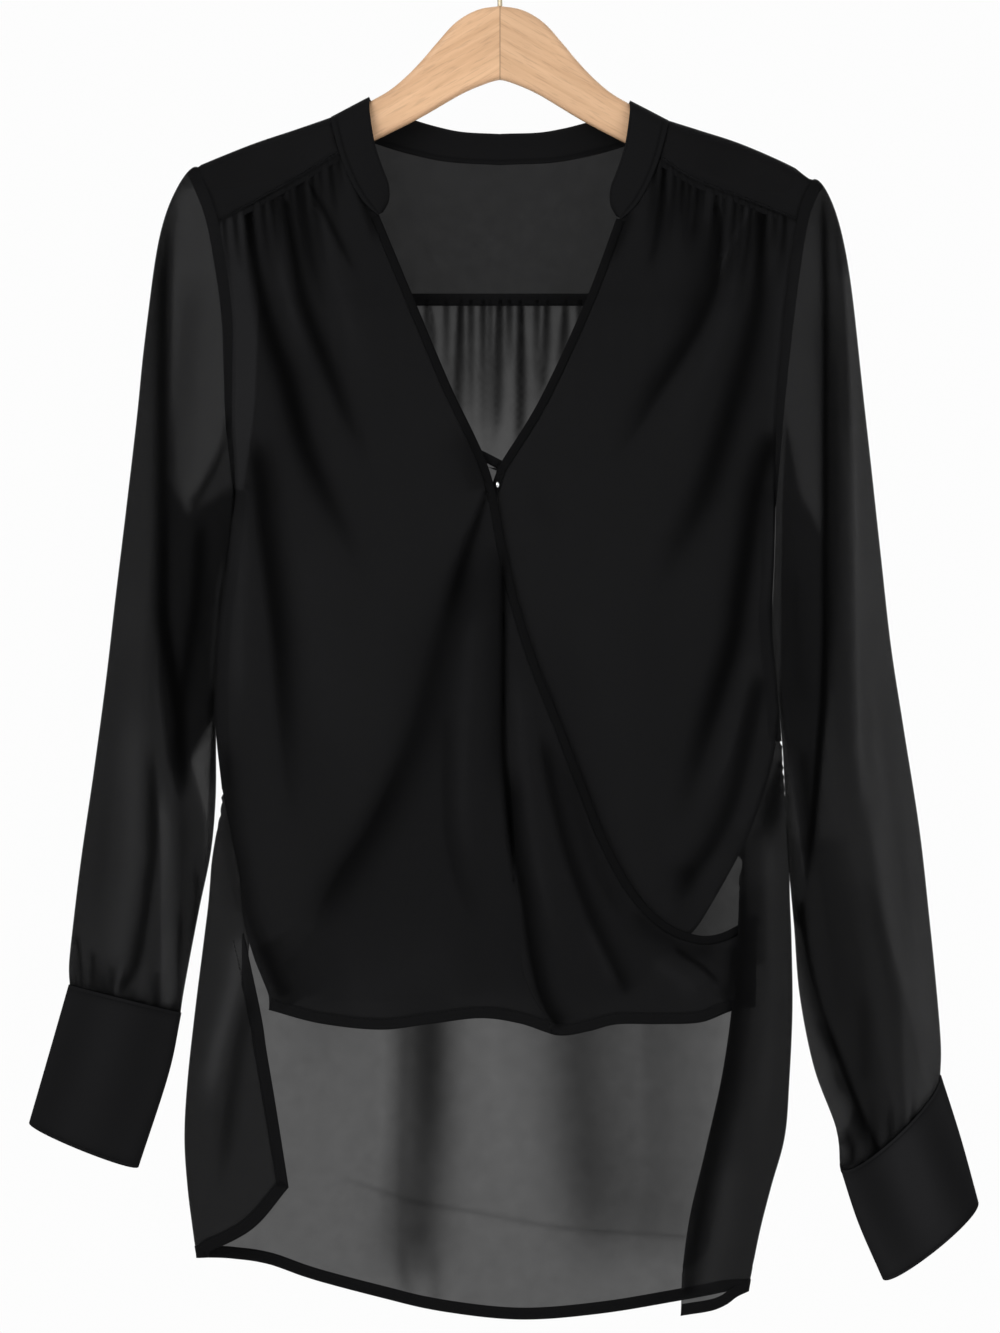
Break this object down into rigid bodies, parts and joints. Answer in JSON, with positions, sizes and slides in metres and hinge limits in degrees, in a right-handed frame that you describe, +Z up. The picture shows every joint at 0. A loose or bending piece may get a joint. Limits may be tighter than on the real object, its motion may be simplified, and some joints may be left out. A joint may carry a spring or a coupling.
{
  "type": "wrap top on a wooden hanger",
  "caption": "Sheer long-sleeved wrap top with a stand neck band, gathered yoke, deep cuffs and a longer back, hanging on a flat wooden hanger.",
  "frame": {"origin": "inner crown of the hanger's hook, where a rail carries it", "axes": "+Z up, -Y out of the garment's front, +X towards the wearer's left"},
  "size_m": [0.618, 0.0602, 0.9207],
  "materials": {
    "chiffon": "sheer black chiffon, one layer lets about a tenth of the light through",
    "band_cloth": "black chiffon in two or more layers, dense and matt",
    "beech": "pale beech, fine straight grain, satin",
    "hook_metal": "dull brassed steel wire",
    "snap_metal": "bright small fastener"
  },
  "bodies": {
    "root": {"hanger_wood": "beech", "hanger_hook": "hook_metal", "yoke": "chiffon", "front_over": "chiffon", "front_under": "chiffon", "back_panel": "chiffon", "sleeve_right": "chiffon", "sleeve_left": "chiffon", "neck_band": "band_cloth", "binding_over": "band_cloth", "binding_under": "band_cloth", "hem_over": "band_cloth", "hem_back": "band_cloth", "hem_slit": "band_cloth", "cuff_right": "band_cloth", "cuff_left": "band_cloth", "closure_tab": "band_cloth", "closure_snap": "snap_metal"}
  },
  "joints": []
}
